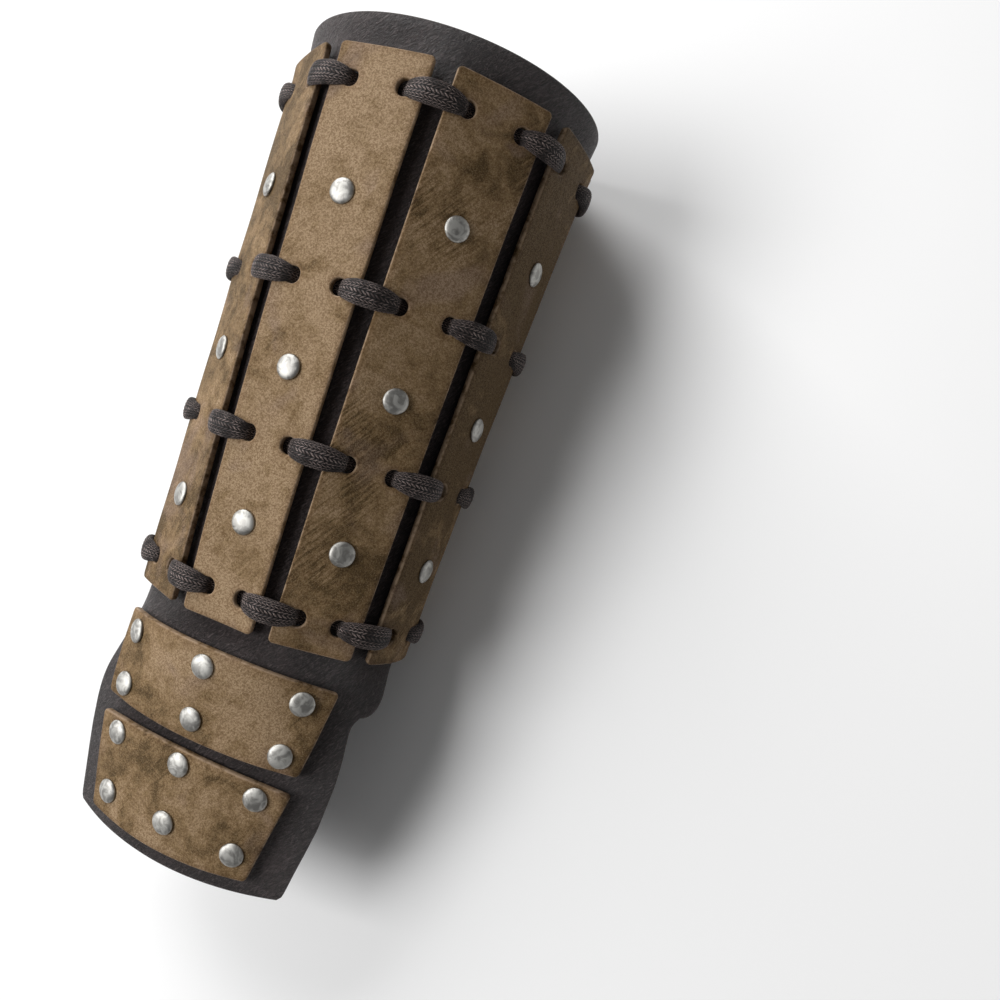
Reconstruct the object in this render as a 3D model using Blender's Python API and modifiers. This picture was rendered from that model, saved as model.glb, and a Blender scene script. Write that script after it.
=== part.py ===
# Studded leather bracer: a dark leather sheet wrapped into a sleeve with a hand flap, seven leather
# slats laced round it with four cords, two cross plates on the flap, and metal rivet caps.
# It lies on its underside, elbow end toward +Y, hand flap toward -Y. Metres, +Z up, floor at z = 0.
import math
from functools import lru_cache

import bmesh
import bpy
from mathutils import Matrix, Vector

# Leather and cord thicknesses
backingWall = 0.0020
slatWall = 0.0024
plateWall = 0.0024
clearance = 0.0003
cordBehind = 0.0007
cordOver = 0.0015
cordUnder = 0.0026
cordPressed = 0.0009
plateSeat = 0.0004

# Sleeve, measured on the outside of the backing sheet, before its underside is flattened
slatLength = 0.1730
elbowWidth = 0.0988
elbowHeight = 0.0932
wristWidth = 0.0886
wristHeight = 0.0606
rimMargin = 0.0105
rimFlare = 0.0010
flareRun = 0.0070
wristMargin = 0.0090
openingWidth = 0.0090
sectionLean = 0.16

# Slats, their widths and gaps measured round the backing sheet
slatWidthElbow = 0.0298
slatWidthWrist = 0.0238
slatGapElbow = 0.0062
slatGapWrist = 0.0051
slatCorner = 0.0028
slatFlatness = 0.75
slatsEachSide = 3

# Slots in the slats, and the cords through them
slotInset = 0.0072
slotWidth = 0.0027
slotHeight = 0.0066
cordWidth = 0.0080
cordWidthInSlot = 0.0054
cordWidthBehind = 0.0074

# Hand flap, measured along the leather
flapLength = 0.0604
flapBulge = 0.0027
flapHalfWidth = 0.0475
shoulderDrop = 0.0083
shoulderHalfWidth = 0.0508
shoulderRun = 0.0220
flapRadiusRoot = 0.068
flapRadiusEnd = 0.105
flapDip = 0.0014
flapDipRun = 0.030
flapSlope = 0.024
flapOpening = 0.045
flapBlend = 0.036

# Rivet caps
rivetWidth = 0.0078
rivetHeight = 0.0013
rivetSides = 10

# Shape of the section: where its flat underside lies, and how round its lower corners are,
# as shares of its half height and half width
undersideDepth = 0.965
cornerShare = 0.50

# How the width lags and the height swells between the wrist and the elbow, as shares
widthLag = 0.72
heightSwell = 0.21

# Cord rows and slat rivets, as shares of the slat length from the wrist end
cordRows = {"wrist": 0.052, "lower": 0.324, "upper": 0.599, "elbow": 0.940}
rivetRows = {"wrist": 0.177, "middle": 0.449, "elbow": 0.752}

# Flap edge from the shoulder to the corners: (share of flapLength, share of flapHalfWidth)
flapEdge = (
    (0.02, 1.030), (0.05, 1.012), (0.12, 1.004), (0.22, 0.999), (0.34, 0.990), (0.46, 0.973),
    (0.58, 0.955), (0.70, 0.931), (0.82, 0.902), (0.92, 0.880), (0.97, 0.868), (1.00, 0.842),
)

# Cross plates: distance of the top edge from the slats, length, half widths along the leather,
# bow of the two long edges
plates = {
    "upper": {"start": 0.0081, "length": 0.0288, "topHalf": 0.0410, "endHalf": 0.0365,
              "topBow": 0.0021, "endBow": 0.0004},
    "lower": {"start": 0.0412, "length": 0.0319, "topHalf": 0.0363, "endHalf": 0.0300,
              "topBow": 0.0017, "endBow": 0.0018},
}
plateCorner = 0.0022

# Rivets of each plate: distance of the row from the plate's top edge, and of its outer rivets
# from the middle line
plateRivets = {
    "upper": {"first": (0.0058, 0.0314), "second": (0.0227, 0.0297)},
    "lower": {"first": (0.0047, 0.0264), "second": (0.0240, 0.0241)},
}

# Derived sizes
floorGap = cordUnder + clearance
slatLift = cordBehind + 2 * clearance
slatTop = slatLift + slatWall
rimEnd = slatLength + rimMargin
shoulderEnd = -(wristMargin + shoulderDrop)
flapCorner = shoulderEnd - flapLength
flapEnd = flapCorner - flapBulge
cornerTurn = math.acos((undersideDepth - cornerShare) / (1 - cornerShare))
flatShare = (1 - cornerShare) * math.sin(cornerTurn)


def lerp(a, b, t):
    return a + (b - a) * t


def smooth(t):
    t = min(max(t, 0.0), 1.0)
    return t * t * (3 - 2 * t)


def halfSizes(y):
    """Half width and half height of the sleeve's section at y."""
    t = y / slatLength
    width = lerp(wristWidth, elbowWidth, t * (1 - widthLag * (1 - t)))
    height = lerp(wristHeight, elbowHeight, t * (1 + heightSwell * (1 - t)))
    return width / 2, height / 2


def lengthMiddle():
    rimHeight = (1 + undersideDepth) * halfSizes(rimEnd)[1]
    return (rimEnd + sectionLean * rimHeight + flapEnd) / 2


@lru_cache(maxsize=None)
def outline(y):
    """Half section from its top to the middle of its underside: x, height and run at each step."""
    halfWidth, halfHeight = halfSizes(y)
    steps = 90
    roundEnd = math.pi - cornerTurn
    points = []
    for k in range(steps + 1):
        turn = roundEnd * k / steps
        points.append((math.sin(turn), math.cos(turn)))
    for k in range(1, 13):
        turn = roundEnd + cornerTurn * k / 12
        x = flatShare + cornerShare * math.sin(turn)
        z = cornerShare - undersideDepth + cornerShare * math.cos(turn)
        points.append((x, z))
    points.append((0.0, -undersideDepth))
    xs = [x * halfWidth for x, z in points]
    zs = [floorGap + (z + undersideDepth) * halfHeight for x, z in points]
    runs = [0.0]
    for k in range(1, len(points)):
        runs.append(runs[-1] + math.hypot(xs[k] - xs[k - 1], zs[k] - zs[k - 1]))
    return xs, zs, runs


def halfRun(y):
    """Distance round the sleeve from its top to the middle of its underside."""
    return outline(y)[2][-1]


def sleevePoint(y, run):
    xs, zs, runs = outline(y)
    reach = min(abs(run), runs[-1])
    low, high = 0, len(runs) - 1
    while high - low > 1:
        middle = (low + high) // 2
        if runs[middle] <= reach:
            low = middle
        else:
            high = middle
    t = (reach - runs[low]) / (runs[high] - runs[low])
    x = lerp(xs[low], xs[high], t)
    return Vector((math.copysign(x, run), y, lerp(zs[low], zs[high], t)))


def flapPoint(y, run):
    """The hand flap is an arc across, which opens out and drops toward its end."""
    curve = lerp(1 / flapRadiusRoot, 1 / flapRadiusEnd, smooth(-y / flapOpening))
    top = outline(y)[1][0] + flapSlope * y - flapDip * smooth(-y / flapDipRun)
    turn = run * curve
    return Vector((math.sin(turn) / curve, y, top - (1 - math.cos(turn)) / curve))


def basePoint(y, run):
    """A point on the backing's outer face. Rows lean back toward the elbow as they go down."""
    y = round(y, 7)
    weight = smooth(-y / flapBlend) * (1 - smooth((abs(run) - shoulderHalfWidth) / shoulderRun))
    point, crest = sleevePoint(y, run), sleevePoint(y, 0.0)
    if weight > 0:
        point = point.lerp(flapPoint(y, run), weight)
    if y < 0:
        crest = crest.lerp(flapPoint(y, 0.0), smooth(-y / flapBlend))
    point.y += sectionLean * (crest.z - point.z)
    return point


def slatWidth(y):
    return lerp(slatWidthWrist, slatWidthElbow, y / slatLength)


def pitch(y):
    return slatWidth(y) + lerp(slatGapWrist, slatGapElbow, y / slatLength)


def dent(y, run):
    """The stiff slats flatten the sheet that they are riveted to, and it bends in the gaps."""
    slat = max(-slatsEachSide, min(slatsEachSide, round(run / pitch(y))))
    share = min(1.0, abs(run - slat * pitch(y)) / (slatWidth(y) / 2))
    radius = halfRun(y) / math.pi
    sagitta = radius * (1 - math.cos(slatWidth(y) / 2 / radius))
    fade = (1 - smooth(-y / wristMargin)) * (1 - smooth((y - slatLength) / rimMargin))
    return slatFlatness * sagitta * (1 - share * share) * fade


def normalAt(y, run):
    step = 0.0005
    along = basePoint(y + step, run) - basePoint(y - step, run)
    far = halfRun(round(y, 7)) - step
    middle = math.copysign(min(abs(run), far), run)
    across = basePoint(y, middle + step) - basePoint(y, middle - step)
    return across.cross(along).normalized()


def sheet(y, run, out=0.0, dented=True):
    """A point out from the backing's outer face, at run round it from the middle line."""
    lift = out + rimFlare * smooth((y - slatLength + flareRun) / (flareRun + rimMargin))
    if dented:
        lift -= dent(y, run)
    return basePoint(y, run) + normalAt(y, run) * lift


def wristEdge(run):
    """The sleeve's wrist edge hangs lower where the flap leaves it."""
    return -wristMargin - shoulderDrop * (1 - smooth((abs(run) - shoulderHalfWidth) / shoulderRun))


def plainMaterial(name, color, roughness, metallic=0.0):
    material = bpy.data.materials.new(name)
    material.use_nodes = True
    shader = material.node_tree.nodes["Principled BSDF"]
    shader.inputs["Base Color"].default_value = (*color, 1)
    shader.inputs["Roughness"].default_value = roughness
    shader.inputs["Metallic"].default_value = metallic
    return material


def clearScene():
    for thing in list(bpy.data.objects):
        bpy.data.objects.remove(thing, do_unlink=True)


def addObject(name, mesh, material, group, stand):
    if not mesh.materials:
        mesh.materials.append(material)
    thing = bpy.data.objects.new(name, mesh)
    group.objects.link(thing)
    thing.parent = stand
    return thing


def gridMesh(name, rows, columns, place, hole=None):
    """A grid of faces whose corners go where place(row, column) says, without the holes."""
    mesh = bmesh.new()
    bmesh.ops.create_grid(mesh, x_segments=columns - 1, y_segments=rows - 1, size=0.5)
    mesh.verts.ensure_lookup_table()
    cells = {}
    for vert in mesh.verts:
        column = round((vert.co.x + 0.5) * (columns - 1))
        row = round((vert.co.y + 0.5) * (rows - 1))
        cells[vert] = (row, column)
    if hole:
        gone = [f for f in mesh.faces if hole(*(min(cells[v][k] for v in f.verts) for k in (0, 1)))]
        bmesh.ops.delete(mesh, geom=gone, context="FACES")
    for vert in mesh.verts:
        vert.co = place(*cells[vert])
    return mesh


def finishSheet(name, mesh, wall, material, group, stand):
    """Turns the outer surface into leather of the given thickness, grown inward."""
    bmesh.ops.recalc_face_normals(mesh, faces=mesh.faces)
    facing = sum(face.normal.dot(face.calc_center_median() - Vector((0, face.calc_center_median().y, 0.03)))
                 for face in mesh.faces)
    if facing < 0:
        bmesh.ops.reverse_faces(mesh, faces=mesh.faces)
    data = bpy.data.meshes.new(name)
    mesh.to_mesh(data)
    mesh.free()
    thing = addObject(name, data, material, group, stand)
    solidify = thing.modifiers.new("wall", "SOLIDIFY")
    solidify.thickness = wall
    solidify.offset = -1
    solidify.use_even_offset = False
    return thing


# The backing sheet's columns, as half a row of places: (slat, share of its half width)
def backingColumns():
    columns = [(0, 0.0), (0, 0.5), (0, 1.0)]
    for slat in range(1, slatsEachSide + 1):
        columns += [(slat - 0.5, 0.0), (slat, -1.0), (slat, -0.5), (slat, 0.0), (slat, 0.5), (slat, 1.0)]
    return columns


def columnRun(index, y):
    """Run of a backing column at y; the last ones share the underside up to the opening."""
    columns = backingColumns()
    if index < len(columns):
        slat, share = columns[index]
        return slat * pitch(y) + share * slatWidth(y) / 2
    outer = columnRun(len(columns) - 1, y)
    return lerp(outer, halfRun(y) - openingWidth / 2, undersideColumns[index - len(columns)])


undersideColumns = (0.22, 0.45, 0.65, 0.82, 1.0)
shoulderColumn = 11


def wristRun(index):
    """Column runs at the wrist edge, where one column meets the flap's shoulder."""
    plain = columnRun(index, 0.0)
    at = columnRun(shoulderColumn, 0.0)
    if index <= shoulderColumn:
        return plain * shoulderHalfWidth / at
    end = columnRun(len(backingColumns()) + len(undersideColumns) - 1, 0.0)
    return end - (end - plain) * (end - shoulderHalfWidth) / (end - at)


def makeBacking(material, group, stand):
    half = len(backingColumns()) + len(undersideColumns)
    wristShares = (0.0, 0.5)
    sleeveLevels = [0.0, 0.25 * slatLength, 0.5 * slatLength, 0.75 * slatLength]
    sleeveLevels += [slatLength - flareRun, slatLength]
    levels = sleeveLevels + [slatLength + rimMargin / 2, rimEnd]

    def sleevePlace(row, column):
        index = abs(column - half + 1)
        side = 1 if column >= half - 1 else -1
        if row < len(wristShares):
            share = wristShares[row]
            run = lerp(wristRun(index), columnRun(index, 0.0), share)
            return sheet(lerp(wristEdge(wristRun(index)), 0.0, share), side * run)
        y = levels[row - len(wristShares)]
        return sheet(y, side * columnRun(index, y))

    def flapPlace(row, column):
        index = abs(column - shoulderColumn)
        side = 1 if column >= shoulderColumn else -1
        across = wristRun(index) / shoulderHalfWidth
        if row == 0:
            return sheet(wristEdge(0.0), side * wristRun(index))
        down, wide = flapEdge[row - 1]
        y = shoulderEnd - down * (flapLength + flapBulge * (1 - across * across))
        return sheet(y, side * across * wide * flapHalfWidth)

    whole = gridMesh("sleeve", len(wristShares) + len(levels), 2 * half - 1, sleevePlace)
    flap = gridMesh("flap", len(flapEdge) + 1, 2 * shoulderColumn + 1, flapPlace)
    flapData = bpy.data.meshes.new("flap")
    flap.to_mesh(flapData)
    flap.free()
    whole.from_mesh(flapData)
    bpy.data.meshes.remove(flapData)
    bmesh.ops.remove_doubles(whole, verts=whole.verts, dist=0.00001)
    finishSheet("backing", whole, backingWall, material, group, stand)


def makeSlat(slat, name, material, group, stand):
    slotOuter = slotInset - slotWidth / 2
    slotInner = slotInset + slotWidth / 2
    insets = [0.0, slatCorner, slotOuter, slotInner]
    levels = [0.0, slatCorner]
    for share in cordRows.values():
        levels += [share * slatLength - slotHeight / 2, share * slatLength + slotHeight / 2]
    levels += [slatLength - slatCorner, slatLength]
    trim = slatCorner * (1 - math.sqrt(0.5))

    def place(row, column):
        side = -1 if column < 4 else 1
        inset = insets[min(column, 8 - column)] if column != 4 else None
        y = levels[row]
        if row in (0, len(levels) - 1) and inset == 0.0:
            inset = trim
            y += trim if row == 0 else -trim
        across = 0.0 if inset is None else side * (slatWidth(y) / 2 - inset)
        return sheet(y, slat * pitch(y) + across, slatTop)

    def isSlot(row, column):
        return column in (2, 5) and row in (2, 4, 6, 8)

    finishSheet(name, gridMesh(name, len(levels), 9, place, isSlot), slatWall, material, group, stand)


def plateEdges(plate, across):
    """Y of a plate's two long edges at a share across it."""
    bow = across * across
    top = -plate["start"] - plate["topBow"] * bow
    end = -plate["start"] - plate["length"] + plate["endBow"] * bow - plate["endBow"]
    return top, end


def makePlate(name, plate, material, group, stand):
    rows, columns = 6, 13

    def place(row, column):
        trimShare = plateCorner / plate["length"]
        down = [0.0, trimShare, 1 / 3, 2 / 3, 1 - trimShare, 1.0]
        corner = plateCorner / plate["topHalf"]
        middle = [(k - 5) / 5 * (1 - corner) for k in range(11)]
        share, across = down[row], ([-1.0] + middle + [1.0])[column]
        if row in (0, rows - 1) and column in (0, columns - 1):
            trim = 1 - math.sqrt(0.5)
            share = lerp(down[row], down[1 if row == 0 else -2], trim)
            across *= 1 - corner * trim
        top, end = plateEdges(plate, across)
        half = lerp(plate["topHalf"], plate["endHalf"], share)
        return sheet(lerp(top, end, share), across * half, plateSeat + plateWall)

    finishSheet(name, gridMesh(name, rows, columns, place), plateWall, material, group, stand)


def rivetMesh(material):
    """A low domed cap, turned from its half profile."""
    profile = ((0.0, 1.0), (0.62, 0.84), (0.93, 0.42), (1.0, 0.0), (0.0, 0.0))
    cap = bmesh.new()
    verts = [cap.verts.new((r * rivetWidth / 2, 0, z * rivetHeight)) for r, z in profile]
    for a, b in zip(verts, verts[1:]):
        cap.edges.new((a, b))
    bmesh.ops.spin(cap, geom=cap.verts[:] + cap.edges[:], cent=(0, 0, 0), axis=(0, 0, 1),
                   angle=math.tau, steps=rivetSides, use_merge=True)
    bmesh.ops.remove_doubles(cap, verts=cap.verts, dist=0.00001)
    bmesh.ops.recalc_face_normals(cap, faces=cap.faces)
    data = bpy.data.meshes.new("rivet_cap")
    cap.to_mesh(data)
    cap.free()
    data.shade_smooth()
    data.materials.append(material)
    return data


def makeRivet(name, mesh, y, run, out, material, group, stand):
    rivet = addObject(name, mesh, material, group, stand)
    up = normalAt(y, run)
    along = (Vector((0, 1, 0)) - up * up.y).normalized()
    frame = Matrix((along.cross(up), along, up)).transposed()
    rivet.matrix_parent_inverse = Matrix()
    rivet.location = sheet(y, run, out)
    rivet.rotation_euler = frame.to_euler()


def cordStations(share):
    """Round one row: (run, height of the cord's middle, thickness, width, follows the dents)."""
    y0 = share * slatLength
    slotOuter = slotInset - slotWidth / 2
    slotInner = slotInset + slotWidth / 2
    over = slatTop + clearance + cordOver / 2
    behind = clearance + cordBehind / 2

    def alongSlat(slat, side, inset):
        return lambda y: slat * pitch(y) + side * (slatWidth(y) / 2 - inset)

    stations = []
    for slat in range(-slatsEachSide, slatsEachSide + 1):
        outerIn = (alongSlat(slat, -1, slotOuter), over + 0.0002, 0.8 * cordOver, 0.70 * cordWidth, True)
        innerIn = (alongSlat(slat, -1, slotInner - clearance), behind, cordBehind, cordWidthInSlot, True)
        middle = (alongSlat(slat, -1, slatWidth(y0) / 2), behind, cordBehind, cordWidthBehind, True)
        innerOut = (alongSlat(slat, 1, slotInner - clearance), behind, cordBehind, cordWidthInSlot, True)
        outerOut = (alongSlat(slat, 1, slotOuter), over + 0.0002, 0.8 * cordOver, 0.70 * cordWidth, True)
        swellIn = (alongSlat(slat, -1, 0.55 * slotOuter), over + 0.0003, cordOver, cordWidth, False)
        swellOut = (alongSlat(slat, 1, 0.55 * slotOuter), over + 0.0003, cordOver, cordWidth, False)
        stations += [swellIn, outerIn, innerIn, middle, innerOut, outerOut, swellOut]
        if slat < slatsEachSide:
            stations.append((lambda y, s=slat + 0.5: s * pitch(y), over + 0.0001, cordOver, cordWidth, False))
    return stations


def undersideStations(side):
    """From the last slat's outer edge down onto the flat underside, where the cord lies on the floor."""
    over = slatTop + clearance + cordPressed / 2
    close = 2 * clearance + cordOver / 2
    rest = clearance + cordUnder / 2

    def edge(y):
        return slatsEachSide * pitch(y) + slatWidth(y) / 2 + 0.03 * slatWidth(y)

    def flat(y):
        return halfRun(y) - flatShare * halfSizes(y)[0]

    return [
        (lambda y: side * edge(y), over, cordPressed, cordWidth, False),
        (lambda y: side * lerp(edge(y), flat(y), 0.5), close, cordOver, cordWidthBehind, False),
        (lambda y: side * flat(y), rest, cordUnder, cordWidthBehind, False),
    ]


def makeCord(name, share, material, group, stand):
    """A closed loop of flat braid: six-sided sections, joined in a ring."""
    sides = ((-0.5, 0.0), (-0.34, 0.5), (0.34, 0.5), (0.5, 0.0), (0.34, -0.5), (-0.34, -0.5))
    middle = (lambda y: halfRun(y), clearance + cordUnder / 2, cordUnder, cordWidthBehind, False)
    stations = [middle] + undersideStations(-1)[::-1] + cordStations(share) + undersideStations(1)
    y0 = share * slatLength

    def place(row, column):
        runAt, height, thickness, width, dented = stations[column % len(stations)]
        across, out = sides[row % len(sides)]
        y = y0 + across * width
        return sheet(y, runAt(y), height + out * thickness, dented)

    cord = gridMesh(name, len(sides) + 1, len(stations) + 1, place)
    bmesh.ops.remove_doubles(cord, verts=cord.verts, dist=0.00001)
    bmesh.ops.recalc_face_normals(cord, faces=cord.faces)
    data = bpy.data.meshes.new(name)
    cord.to_mesh(data)
    cord.free()
    addObject(name, data, material, group, stand)


def slatName(slat):
    if slat == 0:
        return "slat_middle"
    return f"slat_{'left' if slat < 0 else 'right'}_{abs(slat)}"


def main():
    clearScene()
    group = bpy.data.collections.new("studded_leather_bracer")
    bpy.context.scene.collection.children.link(group)
    stand = bpy.data.objects.new("bracer", None)
    group.objects.link(stand)
    stand.location = (0, -lengthMiddle(), 0)

    tan = plainMaterial("tan_leather", (0.21, 0.145, 0.085), 0.75)
    dark = plainMaterial("dark_leather", (0.030, 0.024, 0.024), 0.55)
    braid = plainMaterial("waxed_braid", (0.045, 0.032, 0.028), 0.60)
    nickel = plainMaterial("nickel", (0.62, 0.60, 0.56), 0.30, 1.0)

    makeBacking(dark, group, stand)
    cap = rivetMesh(nickel)
    for slat in range(-slatsEachSide, slatsEachSide + 1):
        name = slatName(slat)
        makeSlat(slat, name, tan, group, stand)
        for row, share in rivetRows.items():
            y = share * slatLength
            makeRivet(f"rivet_{name}_{row}", cap, y, slat * pitch(y), slatTop + clearance, nickel, group, stand)
    for place, plate in plates.items():
        makePlate(f"plate_{place}", plate, tan, group, stand)
        for row, (down, run) in plateRivets[place].items():
            for side, word in ((-1, "left"), (0, "middle"), (1, "right")):
                y = plateEdges(plate, side * run / plate["topHalf"])[0] - down
                out = plateWall + plateSeat + clearance
                makeRivet(f"rivet_{place}_{row}_{word}", cap, y, side * run, out, nickel, group, stand)
    for row, share in cordRows.items():
        makeCord(f"cord_{row}", share, braid, group, stand)


main()
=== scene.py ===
import math
from contextlib import contextmanager
import bpy
import numpy as np
from mathutils import Matrix, Vector, noise


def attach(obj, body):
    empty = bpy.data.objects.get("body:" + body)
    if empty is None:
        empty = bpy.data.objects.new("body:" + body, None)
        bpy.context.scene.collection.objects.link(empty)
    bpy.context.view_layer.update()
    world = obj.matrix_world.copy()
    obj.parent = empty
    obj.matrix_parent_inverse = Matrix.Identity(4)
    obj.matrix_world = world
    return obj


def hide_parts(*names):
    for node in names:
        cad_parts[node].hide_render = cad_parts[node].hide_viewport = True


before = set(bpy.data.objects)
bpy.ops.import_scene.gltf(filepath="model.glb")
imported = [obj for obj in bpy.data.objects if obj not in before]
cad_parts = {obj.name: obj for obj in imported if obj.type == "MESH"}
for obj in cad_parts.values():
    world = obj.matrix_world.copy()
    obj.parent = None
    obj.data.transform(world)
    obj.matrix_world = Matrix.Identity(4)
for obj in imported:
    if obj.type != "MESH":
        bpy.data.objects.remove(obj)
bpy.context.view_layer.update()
print("frame loaded:", len(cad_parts), "nodes")

# Sleeve, in metres: the leather's flat pattern runs round the arm, and y goes from wrist to elbow
sleeve = {
    "slatLength": 0.1730, "elbowWidth": 0.0988, "elbowHeight": 0.0932,
    "wristWidth": 0.0886, "wristHeight": 0.0606, "widthLag": 0.72, "heightSwell": 0.21,
    "undersideDepth": 0.965, "cornerShare": 0.50, "floorGap": 0.0029,
    "rimMargin": 0.0105, "rimFlare": 0.0010, "flareRun": 0.0070,
    "wristMargin": 0.0090, "openingWidth": 0.0090, "sectionLean": 0.16,
    "wall": 0.0020, "edgeRound": 0.0005,
}
slats = {
    "wall": 0.0024, "lift": 0.0013, "widthElbow": 0.0298, "widthWrist": 0.0238,
    "gapElbow": 0.0062, "gapWrist": 0.0051, "corner": 0.0016, "flatness": 0.75, "eachSide": 3,
    "edgeRound": 0.0007, "holeInset": 0.0060, "holeWidth": 0.0048, "holeHeight": 0.0052,
    "holeRound": 0.49, "holeReach": 0.008, "cell": 0.0025, "wave": 0.00022, "waveSize": 0.022,
    "waveSeed": 7.0, "patternShift": 0.37, "smoothDegrees": 40,
}
flap = {
    "length": 0.0604, "bulge": 0.0027, "halfWidth": 0.0475, "shoulderDrop": 0.0083,
    "shoulderHalfWidth": 0.0508, "shoulderRun": 0.0220, "radiusRoot": 0.068, "radiusEnd": 0.105,
    "dip": 0.0014, "dipRun": 0.030, "slope": 0.024, "opening": 0.045, "blend": 0.036,
    "lean": 0.0014, "leanRun": 0.080,
}
cordRows = {"wrist": 0.052, "lower": 0.324, "upper": 0.599, "elbow": 0.940}
rivetRows = {"wrist": 0.177, "middle": 0.449, "elbow": 0.752}

slatTop = slats["lift"] + slats["wall"]
rimEnd = sleeve["slatLength"] + sleeve["rimMargin"]
shoulderEnd = -(sleeve["wristMargin"] + flap["shoulderDrop"])
flapEnd = shoulderEnd - flap["length"] - flap["bulge"]


def lerp(a, b, t):
    return a + (b - a) * t


def ease(t):
    t = np.clip(t, 0.0, 1.0)
    return t * t * (3 - 2 * t)


def halfSizes(y):
    t = y / sleeve["slatLength"]
    width = lerp(sleeve["wristWidth"], sleeve["elbowWidth"], t * (1 - sleeve["widthLag"] * (1 - t)))
    height = lerp(sleeve["wristHeight"], sleeve["elbowHeight"], t * (1 + sleeve["heightSwell"] * (1 - t)))
    return width / 2, height / 2


def lengthMiddle():
    rimHeight = (1 + sleeve["undersideDepth"]) * halfSizes(rimEnd)[1]
    return (rimEnd + sleeve["sectionLean"] * rimHeight + flapEnd) / 2


def outline(y):  # half section from the crest to the middle of the flattened underside
    halfWidth, halfHeight = halfSizes(y)
    corner, depth = sleeve["cornerShare"], sleeve["undersideDepth"]
    cornerTurn = math.acos((depth - corner) / (1 - corner))
    main = np.linspace(0, math.pi - cornerTurn, 91)
    low = np.linspace(math.pi - cornerTurn, math.pi, 13)[1:]
    flatHalf = (1 - corner) * math.sin(cornerTurn)
    xs = np.concatenate([np.sin(main), flatHalf + corner * np.sin(low), [0.0]]) * halfWidth
    zs = np.concatenate([np.cos(main), corner - depth + corner * np.cos(low), [-depth]])
    zs = sleeve["floorGap"] + (zs + depth) * halfHeight
    runs = np.concatenate([[0.0], np.cumsum(np.hypot(np.diff(xs), np.diff(zs)))])
    return xs, zs, runs


def bendTable(step=0.001):  # where the backing's outer face lies, for each y and run
    ys = np.arange(flapEnd - 0.004, rimEnd + 0.004, step)
    runs = np.arange(-0.152, 0.1525, step)
    place = np.zeros((len(ys), len(runs), 3))
    halfRuns = []
    for row, y in enumerate(ys):
        xs, zs, distances = outline(y)
        halfRuns.append(distances[-1])
        x = np.sign(runs) * np.interp(np.abs(runs), distances, xs)
        z = np.interp(np.abs(runs), distances, zs)
        curve = lerp(1 / flap["radiusRoot"], 1 / flap["radiusEnd"], ease(-y / flap["opening"]))
        crown = zs[0] + flap["slope"] * y - flap["dip"] * ease(-y / flap["dipRun"])
        inner = 1 - ease((np.abs(runs) - flap["shoulderHalfWidth"]) / flap["shoulderRun"])
        weight = ease(-y / flap["blend"]) * inner
        x = lerp(x, np.sin(runs * curve) / curve, weight) - flap["lean"] * ease(-y / flap["leanRun"])
        z = lerp(z, crown - (1 - np.cos(runs * curve)) / curve, weight)
        crest = np.interp(0.0, runs, z)
        place[row, :, 0] = x
        place[row, :, 1] = y + sleeve["sectionLean"] * (crest - z) - lengthMiddle()
        place[row, :, 2] = z
    normals = np.cross(np.gradient(place, axis=1), np.gradient(place, axis=0))
    normals /= np.maximum(np.linalg.norm(normals, axis=2, keepdims=True), 1e-12)
    return {"ys": ys, "runs": runs, "step": step, "place": place, "normals": normals,
            "halfRuns": np.array(halfRuns)}


table = bendTable()


def sample(grid, run, y):  # bilinear look-up
    row = np.clip((y - table["ys"][0]) / table["step"], 0, len(table["ys"]) - 1.001)
    column = np.clip((run - table["runs"][0]) / table["step"], 0, len(table["runs"]) - 1.001)
    i, j = row.astype(int), column.astype(int)
    s, t = (row - i)[:, None], (column - j)[:, None]
    low = lerp(grid[i, j], grid[i, j + 1], t)
    high = lerp(grid[i + 1, j], grid[i + 1, j + 1], t)
    return lerp(low, high, s)


def halfRun(y):
    return np.interp(y, table["ys"], table["halfRuns"])


def slatWidth(y):
    return lerp(slats["widthWrist"], slats["widthElbow"], y / sleeve["slatLength"])


def pitch(y):
    return slatWidth(y) + lerp(slats["gapWrist"], slats["gapElbow"], y / sleeve["slatLength"])


def dent(y, run):  # the stiff slats flatten the sheet that they are riveted to
    slat = np.clip(np.round(run / pitch(y)), -slats["eachSide"], slats["eachSide"])
    share = np.minimum(1.0, np.abs(run - slat * pitch(y)) / (slatWidth(y) / 2))
    radius = halfRun(y) / math.pi
    sagitta = radius * (1 - np.cos(slatWidth(y) / 2 / radius))
    fade = 1 - ease(-y / sleeve["wristMargin"])
    fade = fade * (1 - ease((y - sleeve["slatLength"]) / sleeve["rimMargin"]))
    return slats["flatness"] * sagitta * (1 - share * share) * fade


def wrap(run, y, out):
    run, y, out = (np.asarray(v, dtype=float) for v in (run, y, out))
    flareLength = sleeve["flareRun"] + sleeve["rimMargin"]
    flare = sleeve["rimFlare"] * ease((y - sleeve["slatLength"] + sleeve["flareRun"]) / flareLength)
    lift = out + flare - dent(y, run)
    normal = sample(table["normals"], run, y)
    normal /= np.linalg.norm(normal, axis=1, keepdims=True)
    return sample(table["place"], run, y) + normal * lift[:, None]


def wristEdge(run):
    return -sleeve["wristMargin"] - flap["shoulderDrop"] * (
        1 - ease((np.abs(run) - flap["shoulderHalfWidth"]) / flap["shoulderRun"]))


# Small helpers round Blender's operators
sharpTurn = 1.0  # radians, edges that turn further are rounded
patternScale = 10  # units of the flat pattern for each metre


def pick(*things):
    bpy.ops.object.select_all(action="DESELECT")
    for thing in things:
        thing.select_set(True)
    bpy.context.view_layer.objects.active = things[0]


@contextmanager
def editing(thing, everything=True):
    pick(thing)
    bpy.ops.object.mode_set(mode="EDIT")
    if everything:
        bpy.ops.mesh.select_all(action="SELECT")
    yield
    bpy.ops.object.mode_set(mode="OBJECT")


def activate(thing, modifier):
    pick(thing)
    bpy.ops.object.modifier_apply(modifier=modifier.name)


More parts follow.
